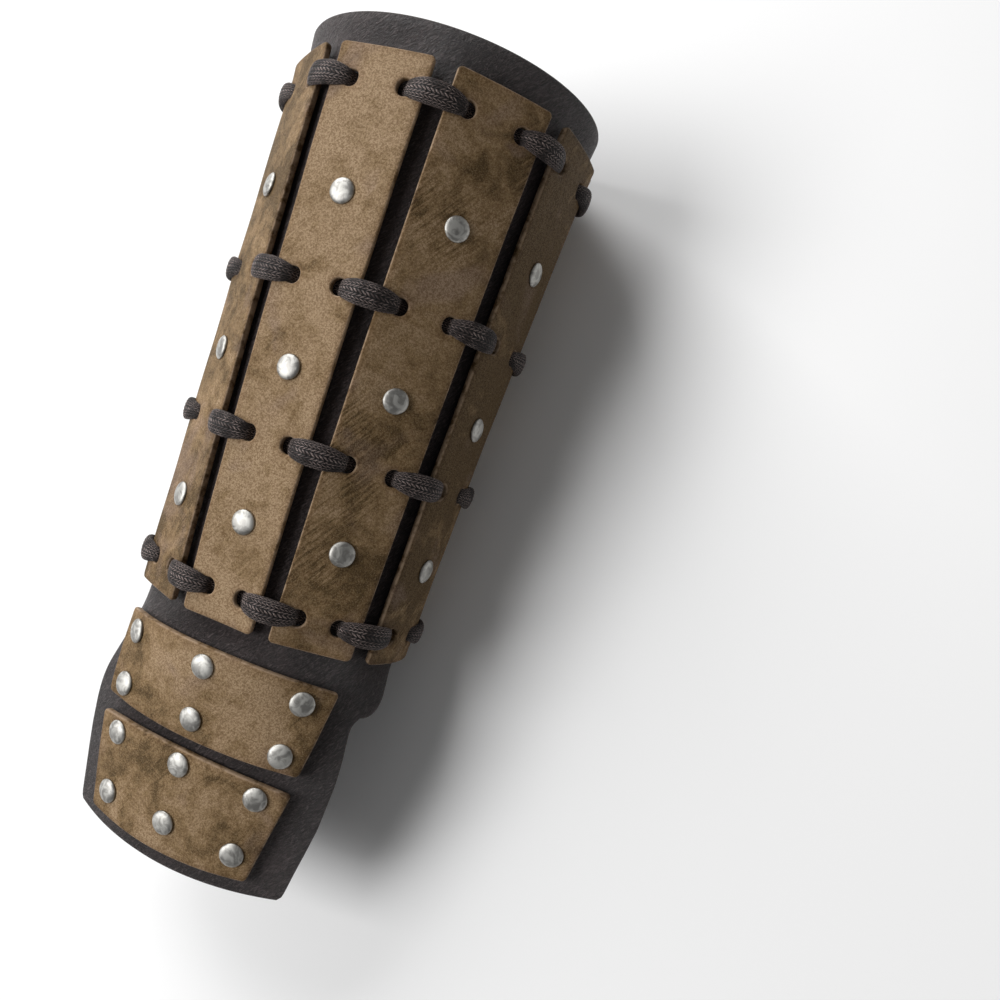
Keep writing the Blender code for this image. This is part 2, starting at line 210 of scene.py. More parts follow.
def softEdge(thing, width, segments):
    soft = thing.modifiers.new("soft edge", "BEVEL")
    soft.width, soft.segments = width, segments
    soft.limit_method, soft.angle_limit = "ANGLE", sharpTurn
    activate(thing, soft)


def corners(mesh):
    flat = np.empty(len(mesh.vertices) * 3, dtype=np.float32)
    mesh.vertices.foreach_get("co", flat)
    return flat.reshape(-1, 3).astype(float)


def setCorners(mesh, points):
    mesh.vertices.foreach_set("co", np.asarray(points, dtype=np.float32).ravel())
    mesh.update()


def addNumbers(mesh, name, values):
    attribute = mesh.attributes.new(name, "FLOAT", "POINT")
    attribute.data.foreach_set("value", np.asarray(values, dtype=np.float32))


def addPattern(mesh, u, v):  # a UV map from one value for each vertex
    layer = mesh.uv_layers.new(name="pattern")
    index = np.empty(len(mesh.loops), dtype=np.int32)
    mesh.loops.foreach_get("vertex_index", index)
    layer.data.foreach_set("uv", np.stack([u[index], v[index]], 1).astype(np.float32).ravel())


def wobble(points, size, seed):  # smooth noise, one value for each point, about -1 to 1
    return np.array([noise.noise(Vector(p) / size + Vector((seed, 2.3 * seed, -seed))) for p in points])


def duplicate(thing, name):
    copy = thing.copy()
    copy.data = thing.data.copy()
    copy.name = copy.data.name = name
    bpy.context.collection.objects.link(copy)
    return copy


def dress(thing, look, node, smoothDegrees=None):
    pick(thing)
    if smoothDegrees:
        bpy.ops.object.shade_smooth_by_angle(angle=math.radians(smoothDegrees))
    else:
        bpy.ops.object.shade_smooth()
    thing.data.materials.clear()
    thing.data.materials.append(look)
    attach(thing, "root")
    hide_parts(node)


# Shader sums: a wrapped socket, and a painter that adds nodes
class Wire:
    def __init__(self, paint, socket):
        self.paint, self.socket = paint, socket

    def math(self, operation, other, swap=False):
        ends = {0: other, 1: self} if swap else {0: self, 1: other}
        return self.paint.add("ShaderNodeMath", {"operation": operation}, ends)

    def __add__(self, other):
        return self.math("ADD", other)

    def __sub__(self, other):
        return self.math("SUBTRACT", other)

    def __rsub__(self, other):
        return self.math("SUBTRACT", other, swap=True)

    def __mul__(self, other):
        return self.math("MULTIPLY", other)

    def __pow__(self, other):
        return self.math("POWER", other)

    __radd__ = __add__
    __rmul__ = __mul__


class Paint:
    def __init__(self, name):
        self.material = bpy.data.materials.new(name)
        self.material.use_nodes = True
        self.tree = self.material.node_tree
        self.shader = self.tree.nodes["Principled BSDF"]

    def add(self, kind, settings=None, ends=None, output=0):
        node = self.tree.nodes.new(kind)
        for name, value in (settings or {}).items():
            if name == "stops":
                self.stops(node.color_ramp, value)
            else:
                setattr(node, name, value)
        for key, value in (ends or {}).items():
            self.join(node.inputs[key], value)
        return Wire(self, node.outputs[output])

    def stops(self, ramp, stops):
        while len(ramp.elements) < len(stops):
            ramp.elements.new(0.5)
        for element, (position, color) in zip(ramp.elements, stops):
            element.position = position
            element.color = (*color, 1)

    def join(self, socket, value):
        if isinstance(value, Wire):
            self.tree.links.new(value.socket, socket)
        elif hasattr(socket.default_value, "__len__") and len(socket.default_value) == 4:
            socket.default_value = (*value, 1)
        else:
            socket.default_value = value

    def set(self, values):
        for name, value in values.items():
            self.join(self.shader.inputs[name], value)

    def spot(self):
        return self.add("ShaderNodeTexCoord", output="Object")

    def pattern(self):
        return self.add("ShaderNodeUVMap", {"uv_map": "pattern"})

    def number(self, name):
        return self.add("ShaderNodeAttribute", {"attribute_name": name}, output="Fac")

    def split(self, vector):
        node = self.add("ShaderNodeSeparateXYZ", {}, {0: vector}).socket.node
        return Wire(self, node.outputs["X"]), Wire(self, node.outputs["Y"])

    def turned(self, vector, angle=0.0, scale=(1, 1, 1)):
        ends = {"Vector": vector, "Rotation": (0, 0, angle), "Scale": [1 / part for part in scale]}
        return self.add("ShaderNodeMapping", {"vector_type": "TEXTURE"}, ends)

    def noise(self, vector, scale, detail, roughness, distortion=0.0):
        ends = {"Vector": vector, "Scale": scale, "Detail": detail, "Roughness": roughness,
                "Distortion": distortion}
        return self.add("ShaderNodeTexNoise", {}, ends, "Fac")

    def band(self, value, low, high, start=0.0, end=1.0):  # smooth step from low to high
        ends = {"Value": value, "From Min": low, "From Max": high, "To Min": start, "To Max": end}
        return self.add("ShaderNodeMapRange", {"interpolation_type": "SMOOTHSTEP"}, ends)

    def blend(self, share, a, b, way="MIX"):
        settings = {"data_type": "RGBA", "blend_type": way}
        return self.add("ShaderNodeMix", settings, {0: share, 6: a, 7: b}, 2)

    def bump(self, height, distance, strength=1.0):
        ends = {"Height": height, "Distance": distance, "Strength": strength}
        return self.add("ShaderNodeBump", {}, ends)


# Materials. A noise is given by its scale, detail, roughness and distortion,
# and a stretched one also by the turn and the scale of its pattern
tanLook = {
    "light": (0.350, 0.244, 0.142), "middle": (0.245, 0.160, 0.077), "dark": (0.105, 0.064, 0.023),
    "grey": (0.255, 0.178, 0.138), "edge": (0.40, 0.29, 0.20), "pore": (0.42, 0.34, 0.26),
    "fleck": (0.50, 0.38, 0.25), "scratch": (0.50, 0.44, 0.36), "rimShade": (0.58, 0.47, 0.38),
    "cloud": (24, 3, 0.55, 0.6), "patch": (85, 4, 0.6, 0.8), "mottle": (300, 4, 0.62),
    "grain": (1500, 3, 0.65), "speck": (3150, 2, 0.6), "area": (32, 2, 0.5), "greyArea": (42, 2, 0.5, 1.0),
    "brushTurn": 0.96, "brushScale": (11, 120, 1), "brush": (1.0, 4, 0.65, 0.3),
    "wrinkleTurn": 1.06, "wrinkleScale": (50, 250, 1), "wrinkle": (1.0, 3, 0.6, 1.4),
    "napDepth": 0.72, "greyShare": 0.45, "bump": 0.00040, "shine": 0.20,
    # kinds: warmth and streaks
    # deep is a darker tone, partly a real tone difference and partly painted shade for a slat turned away
    # from the lamps
    "kinds": {"even": (-0.03, 0.45), "brushed": (-0.01, 1.0), "pale": (0.26, 0.45), "deep": (-0.32, 0.8),
              "dull": (-0.17, 0.45)},
}


def tanLeather(name, warmth, streaks):
    paint, look = Paint(name), tanLook
    spot, flat = paint.spot(), paint.pattern()
    cloud, patch, mottle, grain, speck = (
        paint.noise(spot, *look[key]) for key in ("cloud", "patch", "mottle", "grain", "speck"))
    brushed = paint.noise(paint.turned(flat, look["brushTurn"], look["brushScale"]), *look["brush"])
    wrinkle = paint.noise(paint.turned(flat, look["wrinkleTurn"], look["wrinkleScale"]), *look["wrinkle"])
    area = paint.band(paint.noise(spot, *look["area"]), 0.42, 0.62)
    tone = cloud * 1.6 + patch * 1.3 + mottle * 0.6 - 1.25
    tone = tone + (brushed - 0.5) * (area * (1.8 * streaks)) + warmth
    stops = ((0.22, look["dark"]), (0.50, look["middle"]), (0.80, look["light"]))
    color = paint.add("ShaderNodeValToRGB", {"stops": stops}, {0: tone})
    greyish = paint.band(paint.noise(spot, *look["greyArea"]), 0.55, 0.72)
    color = paint.blend(greyish * look["greyShare"], color, look["grey"])
    pores = paint.band(grain * 0.6 + speck * 0.4, 0.42, 0.57)
    color = paint.blend((1 - pores) * look["napDepth"], color, look["pore"], "MULTIPLY")
    color = paint.blend(paint.band(speck, 0.54, 0.74) * 0.30, color, look["fleck"])
    scratch = paint.band(wrinkle, 0.58, 0.74) * area
    color = paint.blend(scratch * (0.25 + 0.45 * streaks), color, look["scratch"], "MULTIPLY")
    rim = paint.number("rim")
    color = paint.blend(paint.band(rim, 0.0026, 0.0004) * 0.35, color, look["rimShade"], "MULTIPLY")
    worn = paint.band(rim, 0.0006, 0.0001) * paint.band(mottle, 0.35, 0.60)
    color = paint.blend(worn * 0.65, color, look["edge"])
    paint.set({"Base Color": color, "Roughness": paint.band(grain, 0.3, 0.7, 0.76, 0.60)})
    height = grain * 0.45 + speck * 0.25 + mottle * 0.5 + wrinkle * 0.45
    paint.set({"Normal": paint.bump(height, look["bump"], 0.85), "Specular IOR Level": look["shine"]})
    return paint.material


darkLook = {
    # ridgeHighlight is a painted highlight: glints that lighten the crease ridges
    "low": (0.0250, 0.0180, 0.0178), "high": (0.0560, 0.0415, 0.0410), "ridgeHighlight": (0.125, 0.100, 0.098),
    # valleyShade is painted shade that darkens the crease valleys
    "valleyShade": (0.010, 0.007, 0.007), "cutEdge": (0.080, 0.060, 0.050),
    "cloud": (30, 3, 0.55, 0.5), "grain": (900, 4, 0.65),
    "creaseTurn": 0.85, "creaseScale": (34, 150, 1), "crease": (1.0, 4, 0.62, 2.0),
    "foldTurn": 0.55, "foldScale": (14, 50, 1), "fold": (1.0, 3, 0.6, 1.6),
    "cellTurn": 0.5, "cellScale": (1, 1.35, 1), "cells": 110.0, "bump": 0.00090, "shine": 0.45,
}


def darkLeather():
    paint, look = Paint("dark wrinkled leather"), darkLook
    spot, flat = paint.spot(), paint.pattern()
    cloud, grain = paint.noise(spot, *look["cloud"]), paint.noise(spot, *look["grain"])
    crease = paint.noise(paint.turned(flat, look["creaseTurn"], look["creaseScale"]), *look["crease"])
    fold = paint.noise(paint.turned(flat, look["foldTurn"], look["foldScale"]), *look["fold"])
    cells = {"Vector": paint.turned(flat, look["cellTurn"], look["cellScale"]), "Scale": look["cells"]}
    cell = paint.add("ShaderNodeTexVoronoi", {"feature": "DISTANCE_TO_EDGE"}, cells)
    color = paint.blend(paint.band(cloud, 0.35, 0.70), look["low"], look["high"])
    # painted highlight: the raised crease ridges are lightened as soft glints
    color = paint.blend(paint.band(crease, 0.51, 0.64) * 0.70, color, look["ridgeHighlight"])
    # painted shade: the sunken crease valleys are darkened
    color = paint.blend(paint.band(crease, 0.48, 0.38) * 0.75, color, look["valleyShade"])
    color = paint.blend(paint.band(paint.number("rim"), 0.0009, 0.0001) * 0.35, color, look["cutEdge"])
    paint.set({"Base Color": color, "Roughness": paint.band(grain, 0.3, 0.7, 0.60, 0.44)})
    height = grain * 0.3 + crease * 1.6 + fold + paint.band(cell, 0.0, 0.08) * 0.10
    paint.set({"Normal": paint.bump(height, look["bump"]), "Specular IOR Level": look["shine"]})
    return paint.material


# Braid: rows of leaning stitches, drawn alike by the material and by the cord's relief
braidLook = {
    "slant": 1.35, "rowShift": 0.37, "fullness": 0.6,
    # grooveShade is painted shade in the grooves between the stitches
    # paintedGlint is a painted highlight: pale glints on the raised strands
    "grooveShade": (0.0035, 0.0024, 0.0022), "strand": (0.046, 0.032, 0.029), "paintedGlint": (0.400, 0.315, 0.290),
    "fibreScale": (3.0, 9.0, 1), "fibre": (1.0, 3, 0.6), "patch": (260, 2, 0.5),
    "bump": 0.00030, "shine": 0.30,
}


def waxedBraid():
    paint, look = Paint("waxed braid"), braidLook
    flat, spot = paint.pattern(), paint.spot()
    along, across = paint.split(flat)
    row = across.math("FLOOR", 0)
    rowShare, odd = across - row, row.math("PINGPONG", 1)
    turn = (along + rowShare * (1 - 2 * odd) * look["slant"] + odd * look["rowShift"]).math("FRACT", 0)
    strand = (turn * math.pi).math("SINE", 0) * (rowShare * math.pi).math("SINE", 0) ** look["fullness"]
    fibre = paint.noise(paint.turned(flat, 0.0, look["fibreScale"]), *look["fibre"])
    patch = paint.noise(spot, *look["patch"])
    # painted shade: where the stitches sink into their grooves the colour goes nearly black
    color = paint.blend(paint.band(strand, 0.25, 0.95), look["grooveShade"], look["strand"])
    # painted highlight: pale glints on the raised strands, in patches
    paintedGlint = paint.band(fibre, 0.44, 0.58) * paint.band(strand, 0.40, 0.85) * paint.band(patch, 0.36, 0.54)
    color = paint.blend(paintedGlint * 0.90, color, look["paintedGlint"])
    paint.set({"Base Color": color, "Roughness": paint.band(fibre, 0.35, 0.65, 0.66, 0.50)})
    paint.set({"Normal": paint.bump(strand * 0.8 + fibre * 0.3, look["bump"], 0.8)})
    paint.set({"Specular IOR Level": look["shine"]})
    return paint.material


nickelLook = {
    "dull": (0.31, 0.300, 0.282), "bright": (0.54, 0.530, 0.500), "smear": (340, 3, 0.55, 1.2),
    "fine": (1800, 2, 0.6), "roughness": (0.48, 0.60), "bump": 0.00012,
}


def nickel():
    paint, look = Paint("worn nickel"), nickelLook
    spot = paint.spot()
    smear, fine = paint.noise(spot, *look["smear"]), paint.noise(spot, *look["fine"])
    paint.set({"Base Color": paint.blend(paint.band(smear, 0.38, 0.62), look["dull"], look["bright"])})
    paint.set({"Metallic": 1.0, "Roughness": paint.band(smear, 0.35, 0.70, *look["roughness"])})
    paint.set({"Normal": paint.bump(smear * 0.9 + fine * 0.1, look["bump"], 0.5)})
    return paint.material


leatherTan = {word: tanLeather("tan leather " + word, *kind) for word, kind in tanLook["kinds"].items()}
leatherDark, braid, metal = darkLeather(), waxedBraid(), nickel()
print("materials made")

# Backing: the sleeve and the hand flap, one sheet
backing = {
    "columns": 150, "rows": 80, "wristRows": 12, "flapRows": 44, "smoothDegrees": 50,
    "wave": 0.0004, "waveSize": 0.030, "waveSeed": 4.0,
    "waveStart": 0.006, "waveRun": 0.030, "waveWidth": 0.050,
    # share of the way down the flap, and the half width there as a share of the flap's
    "flapEdge": ((0.00, 1.0695), (0.02, 1.042), (0.05, 1.020), (0.09, 1.013), (0.16, 1.012), (0.22, 1.013),
                 (0.34, 1.010), (0.46, 0.998), (0.58, 0.984), (0.70, 0.955), (0.82, 0.923), (0.92, 0.898),
                 (0.965, 0.886), (0.985, 0.876), (1.00, 0.852)),
}


def gridPiece(name, columns, rows, spread):  # a flat grid whose corners go where spread says
    bpy.ops.mesh.primitive_grid_add(x_subdivisions=columns, y_subdivisions=rows, size=2)
    thing = bpy.context.object
    thing.name = thing.data.name = name
    points = corners(thing.data)
    points[:, 0], points[:, 1] = spread(points[:, 0], (points[:, 1] + 1) / 2)
    setCorners(thing.data, points)
    return thing


def flapHalf(down):
    downs, wides = zip(*backing["flapEdge"])
    return np.interp(down, downs, wides) * flap["halfWidth"]


def backingRim(run, y):  # how far each point lies from the nearest cut edge
    run = np.abs(run)
    end = np.where(y > 0, halfRun(y), halfRun(0.0)) - sleeve["openingWidth"] / 2
    side = np.minimum(rimEnd - y, end - run)
    shoulder = np.where(run > flap["shoulderHalfWidth"], y - wristEdge(run), 1.0)
    flapSide = flapHalf(np.clip((shoulderEnd - y) / flap["length"], 0, 1)) - run
    flapTip = y - flapEnd - flap["bulge"] * np.clip(run / flap["halfWidth"], 0, 1) ** 2
    rim = np.where(y < shoulderEnd, np.minimum(flapSide, flapTip), np.minimum(side, shoulder))
    return np.clip(rim, 0, 1)


def backingSheet():
    endWrist = halfRun(0.0) - sleeve["openingWidth"] / 2
    seamShare = flap["shoulderHalfWidth"] / endWrist
    half = backing["columns"] // 2
    seam = round(half * seamShare)

    def columnShare(u):
        k = np.abs(u) * half
        outer = seamShare + (k - seam) / (half - seam) * (1 - seamShare)
        return np.sign(u) * np.where(k <= seam, k / seam * seamShare, outer)

    def upper(u, v):
        y = v * rimEnd
        return columnShare(u) * (halfRun(y) - sleeve["openingWidth"] / 2), y

    def lower(u, v):
        run = columnShare(u) * endWrist
        return run, lerp(wristEdge(run), 0.0, v)

    def hand(u, v):
        down = 1 - v
        return u * flapHalf(down), shoulderEnd - down * (flap["length"] + flap["bulge"] * (1 - u * u))

    sheets = [gridPiece("backing_sheet", backing["columns"], backing["rows"], upper),
              gridPiece("wrist_edge", backing["columns"], backing["wristRows"], lower),
              gridPiece("hand_flap", 2 * seam, backing["flapRows"], hand)]
    pick(*sheets)
    bpy.ops.object.join()
    sheet = bpy.context.object
    with editing(sheet):
        bpy.ops.mesh.remove_doubles(threshold=0.00003)
        bpy.ops.mesh.normals_make_consistent(inside=False)
    if sum(face.normal.z for face in sheet.data.polygons) < 0:
        with editing(sheet):
            bpy.ops.mesh.flip_normals()
    return sheet


def makeBacking():
    sheet = backingSheet()
    solid = sheet.modifiers.new("wall", "SOLIDIFY")
    solid.thickness, solid.offset = sleeve["wall"], -1
    activate(sheet, solid)
    softEdge(sheet, sleeve["edgeRound"], 2)
    points = corners(sheet.data)
    run, y, out = points.T
    addNumbers(sheet.data, "rim", backingRim(run, y))
    addPattern(sheet.data, run * patternScale, y * patternScale)
    down, aside = (-y - backing["waveStart"]) / backing["waveRun"], np.abs(run) / backing["waveWidth"]
    loose = ease(down) * ease(aside)
    wave = backing["wave"] * wobble(points, backing["waveSize"], backing["waveSeed"]) * loose
    setCorners(sheet.data, wrap(run, y, out + wave))
    dress(sheet, leatherDark, "backing", backing["smoothDegrees"])


makeBacking()
print("backing made")


# Stiff leather: slats and plates are cut flat, with rounded corners, holes and edges, and then bent
def block(name, at, size):
    bpy.ops.mesh.primitive_cube_add(size=1, location=at, scale=size)
    thing = bpy.context.object
    thing.name = thing.data.name = name
    bpy.ops.object.transform_apply(location=True, rotation=False, scale=True)
    return thing


def cutAcross(thing, axis, places):  # crosses the mesh with straight cuts
    with editing(thing):
        for at in places:
            spot, way = [0, 0, 0], [0, 0, 0]
            spot[axis], way[axis] = at, 1
            bpy.ops.mesh.select_all(action="SELECT")
            bpy.ops.mesh.bisect(plane_co=spot, plane_no=way)


def evenCuts(low, high, cell):
    count = math.ceil((high - low) / cell)
    return np.linspace(low, high, count + 1)[1:-1]


def roundCorners(thing, radius):  # rounds the upright edges of a block
    with editing(thing):
        bpy.ops.mesh.select_mode(type="EDGE")
        bpy.ops.mesh.select_all(action="DESELECT")
    mesh, tiny = thing.data, 1e-6
    for edge in mesh.edges:
        a, b = (mesh.vertices[k].co for k in edge.vertices)
        edge.select = abs(a.z - b.z) > tiny and abs(a.x - b.x) < tiny
    with editing(thing, everything=False):
        bpy.ops.mesh.bevel(offset=radius, segments=6, affect="EDGES")


def cutHoles(blank, holes, shape):
    cutters = []
    for x, y in holes:
        cutter = block("cutter", (x, y, shape["lift"] + shape["wall"] / 2),
                       (shape["holeWidth"], shape["holeHeight"], 3 * shape["wall"]))
        roundCorners(cutter, shape["holeWidth"] * shape["holeRound"])
        cutters.append(cutter)
    pick(*cutters)
    bpy.ops.object.join()
    cut = blank.modifiers.new("holes", "BOOLEAN")
    cut.object, cut.solver = cutters[0], "EXACT"
    activate(blank, cut)
    bpy.data.objects.remove(cutters[0], do_unlink=True)


def leatherBlank(name, width, length, shape, holes=()):
    blank = block(name, (0, length / 2, shape["lift"] + shape["wall"] / 2), (width, length, shape["wall"]))
    roundCorners(blank, shape["corner"])
    rows = sorted({y for x, y in holes})
    between = [(a + b) / 2 for a, b in zip(rows, rows[1:])]
    cutAcross(blank, 0, sorted({x for x, y in holes} | {0.0}))  # no face then has a hole inside it
    cutAcross(blank, 1, sorted(rows + between))
    if holes:
        cutHoles(blank, holes, shape)
    softEdge(blank, shape["edgeRound"], 3)
    with editing(blank):
        bpy.ops.mesh.quads_convert_to_tris()
    cutAcross(blank, 0, evenCuts(-width / 2, width / 2, shape["cell"]))
    cutAcross(blank, 1, evenCuts(0, length, shape["cell"]))
    return blank


def leatherWave(run, y, shape, seed):
    return shape["wave"] * wobble(np.stack([run, y, 0 * y], 1), shape["waveSize"], seed)


# Rivet caps: a turned profile, one copy for each place
rivets = {
    "width": 0.0078, "height": 0.0013, "steps": 40, "seat": 0.00018, "smoothDegrees": 60,
    "dip": 0.00022, "dipRun": 0.0016,  # how far a cap presses the leather down, and how far round it
    "lean": 0.035, "leanTurns": (2.4, 3.1), "spin": 1.7,  # each cap sits a little askew
    # shares of the half width and of the height, from the top to the rim and under it
    "profile": ((0.0, 1.0), (0.25, 0.98), (0.48, 0.91), (0.68, 0.80), (0.83, 0.65), (0.94, 0.44),
                (1.0, 0.22), (0.985, 0.06), (0.93, 0.03), (0.90, -0.28)),
}


def rivetDips(run, y, centres):
    press = np.zeros(len(run))
    for centreRun, centreY in centres:
        far = np.hypot(run - centreRun, y - centreY) - rivets["width"] / 2
        press = np.maximum(press, np.exp(-(np.maximum(far, 0) / rivets["dipRun"]) ** 2))
    return rivets["dip"] * press


slatNumbers = range(-slats["eachSide"], slats["eachSide"] + 1)
# slat_right_2 gets the darker kind, which is partly painted shade because that slat is turned away from the
# lamps
slatLooks = {-3: "brushed", -2: "pale", -1: "dull", 0: "pale", 1: "brushed", 2: "deep", 3: "even"}


def slatName(slat):
    return "slat_middle" if slat == 0 else f"slat_{'left' if slat < 0 else 'right'}_{abs(slat)}"


def holeRim(x, y, hole):  # distance outside the rounded hole
    bend = slats["holeWidth"] * slats["holeRound"]
    wide = np.maximum(np.abs(x - hole[0]) - slats["holeWidth"] / 2 + bend, 0)
    high = np.maximum(np.abs(y - hole[1]) - slats["holeHeight"] / 2 + bend, 0)
    return np.hypot(wide, high) - bend


def makeSlats():
    length, width = sleeve["slatLength"], slats["widthElbow"]
    holes = [(side * (width / 2 - slats["holeInset"]), share * length)
             for share in cordRows.values() for side in (-1, 1)]
    blank = leatherBlank("slat_blank", width, length, slats, holes)
    fixed = slats["holeInset"] + slats["holeWidth"]  # beside the edges the holes keep their width
    for slat in slatNumbers:
        piece = duplicate(blank, "leather_" + slatName(slat))
        x, y, out = corners(piece.data).T
        inset, real = width / 2 - np.abs(x), slatWidth(y) / 2
        across = np.where(inset < fixed, real - inset, np.abs(x) * (real - fixed) / (width / 2 - fixed))
        run = slat * pitch(y) + np.sign(x) * across
        rim = np.minimum(real - across, np.minimum(y, length - y))
        for hole in holes:
            near = np.minimum(rim, np.maximum(holeRim(x, y, hole), 0))
            rim = np.where(np.abs(y - hole[1]) < slats["holeReach"], near, rim)
        addNumbers(piece.data, "rim", np.maximum(rim, 0))
        addPattern(piece.data, run * patternScale, (y + slats["patternShift"] * slat) * patternScale)
        centres = [(slat * pitch(share * length), share * length) for share in rivetRows.values()]
        wave = leatherWave(run, y, slats, slats["waveSeed"] + slat)
        setCorners(piece.data, wrap(run, y, out - rivetDips(run, y, centres) + wave))
        dress(piece, leatherTan[slatLooks[slat]], slatName(slat), slats["smoothDegrees"])
    bpy.data.objects.remove(blank, do_unlink=True)


makeSlats()
print("slats made")

# Cross plates on the flap. A row of rivets: distance from the top edge, and run of the outer rivets
plates = {
    "upper": {"start": 0.0081, "length": 0.0288, "topHalf": 0.0410, "endHalf": 0.0365,
              "topBow": 0.0021, "endBow": 0.0004,
              "rivets": {"first": (0.0058, 0.0314), "second": (0.0227, 0.0297)}},
    "lower": {"start": 0.0412, "length": 0.0319, "topHalf": 0.0363, "endHalf": 0.0300,
              "topBow": 0.0017, "endBow": 0.0018,
              "rivets": {"first": (0.0047, 0.0264), "second": (0.0240, 0.0241)}},
}
plateShape = {
    "wall": 0.0024, "lift": 0.0004, "corner": 0.0014, "edgeRound": 0.0007, "cell": 0.0025,
    "wave": 0.00022, "waveSize": 0.020, "waveSeed": 15.0, "patternShift": 3, "look": "even",
    "smoothDegrees": 40,
}
plateTop = plateShape["lift"] + plateShape["wall"]


def plateEdges(plate, across):
    bow = across * across
    top = -plate["start"] - plate["topBow"] * bow
    end = -plate["start"] - plate["length"] + plate["endBow"] * bow - plate["endBow"]
    return top, end


def plateSpots(plate):
    spots = {}
    for row, (down, run) in plate["rivets"].items():
        for side, word in ((-1, "left"), (0, "middle"), (1, "right")):
            top = plateEdges(plate, side * run / plate["topHalf"])[0]
            spots[f"{row}_{word}"] = (side * run, top - down)
    return spots


def makePlates():
    for word, plate in plates.items():
        length = plate["length"]
        piece = leatherBlank("leather_plate_" + word, 2 * plate["topHalf"], length, plateShape)
        x, y, out = corners(piece.data).T
        across, share = x / plate["topHalf"], 1 - y / length
        top, end = plateEdges(plate, across)
        y = lerp(top, end, share)
        half = lerp(plate["topHalf"], plate["endHalf"], share)
        run = across * half
        rim = np.minimum(half - np.abs(run), np.minimum(top - y, y - end))
        addNumbers(piece.data, "rim", np.maximum(rim, 0))
        addPattern(piece.data, run * patternScale + plateShape["patternShift"], y * patternScale)
        dips = rivetDips(run, y, plateSpots(plate).values())
        wave = leatherWave(run, y, plateShape, plateShape["waveSeed"])
        setCorners(piece.data, wrap(run, y, out - dips + wave))
        dress(piece, leatherTan[plateShape["look"]], "plate_" + word,
              plateShape["smoothDegrees"])


makePlates()
print("plates made")


def makeCap():
    bpy.ops.mesh.primitive_plane_add(size=1)
    cap = bpy.context.object
    with editing(cap):
        bpy.ops.mesh.delete(type="VERT")
    points = [(r * rivets["width"] / 2, 0, z * rivets["height"]) for r, z in rivets["profile"]]
    cap.data.from_pydata(points, [(k, k + 1) for k in range(len(points) - 1)], [])
    with editing(cap):
        bpy.ops.mesh.spin(steps=rivets["steps"], angle=math.tau, center=(0, 0, 0), axis=(0, 0, 1))
        bpy.ops.mesh.select_all(action="SELECT")
        bpy.ops.mesh.remove_doubles(threshold=0.000002)
        bpy.ops.mesh.select_all(action="DESELECT")
        bpy.ops.mesh.select_non_manifold()
        bpy.ops.mesh.edge_face_add()
        bpy.ops.mesh.select_all(action="SELECT")
        bpy.ops.mesh.normals_make_consistent(inside=False)
    return cap


def rivetSpots():  # run, y and height of the leather's top at each rivet
    spots = {}
    for slat in slatNumbers:
        for row, share in rivetRows.items():
            y = share * sleeve["slatLength"]
            spots[f"rivet_{slatName(slat)}_{row}"] = (slat * pitch(y), y, slatTop)
    for word, plate in plates.items():
        for key, (run, y) in plateSpots(plate).items():
            spots[f"rivet_{word}_{key}"] = (run, y, plateTop)
    return spots


def makeRivets():
    cap = makeCap()
    step = 0.0005  # to the neighbouring points that give the leather's direction
    leanX, leanY = rivets["leanTurns"]
    for count, (node, (run, y, top)) in enumerate(rivetSpots().items()):
        around = wrap([run, run + step, run, run - step, run], [y, y, y + step, y, y - step],
                      [top - rivets["dip"] + rivets["seat"]] * 5)
        up = Vector(np.cross(around[1] - around[3], around[2] - around[4])).normalized()
        lean = Vector((math.sin(count * leanX), math.cos(count * leanY), 0)) * rivets["lean"]
        up = (up + lean).normalized()
        along = (Vector((0, 1, 0)) - up * up.y).normalized()
        turn = Matrix((along.cross(up), along, up)).transposed()
        turn = turn @ Matrix.Rotation(count * rivets["spin"], 3, "Z")
        piece = duplicate(cap, "cap_" + node)
        setCorners(piece.data, corners(piece.data) @ np.array(turn).T + around[0])
        dress(piece, metal, node, rivets["smoothDegrees"])
    bpy.data.objects.remove(cap, do_unlink=True)


makeRivets()
print("rivets made")

# Lacing cords: closed loops of braid, over each gap, down the holes and behind the slats
cords = {
    "width": 0.0074, "behindWidth": 0.0070, "behind": 0.0007, "under": 0.0026, "pressed": 0.0009,
    "slope": 0.0015, "clearance": 0.0003, "flatShare": 0.17, "edgeShare": 0.03, "seenDepth": 0.0012,
    "fineStep": 0.00025, "coarseStep": 0.0012, "around": 88, "smooth": 0.0005, "squareness": 0.85,
    "stitch": 0.0012, "rows": 22, "relief": 0.00018, "reliefMiddle": 0.6, "reliefLeast": 0.2,
    "reliefThickness": 0.0020,
    # share of the way from the gap's middle to the hole, rise over the slats, thickness, share of the width
    "hump": ((0.00, 0.00115, 0.0031, 1.00), (0.25, 0.00110, 0.0030, 0.99), (0.45, 0.00098, 0.0028, 0.95),
             (0.62, 0.00075, 0.0025, 0.87), (0.77, 0.00035, 0.0022, 0.77), (0.90, -0.00035, 0.0020, 0.66),
             (0.99, -0.00130, 0.0018, 0.56), (1.05, -0.00290, 0.0010, 0.60)),
    # the same from the last slat's edge to its outer hole
    "outer": ((1.10, -0.0028, 0.0010, 0.66), (1.0, -0.0012, 0.0015, 0.68), (0.85, 0.0002, 0.0014, 0.85),
              (0.6, 0.0007, 0.0013, 0.98)),
}
smoothSteps = 4  # fine steps to one smoothing length


def gapStations(gapMiddle, reach):
    before, after = cords["hump"][::-1], cords["hump"][1:]
    shares = [(-share, *rest) for share, *rest in before] + [(share, *rest) for share, *rest in after]
    return [(gapMiddle + share * reach, slatTop + rise, thick, wide * cords["width"])
            for share, rise, thick, wide in shares]


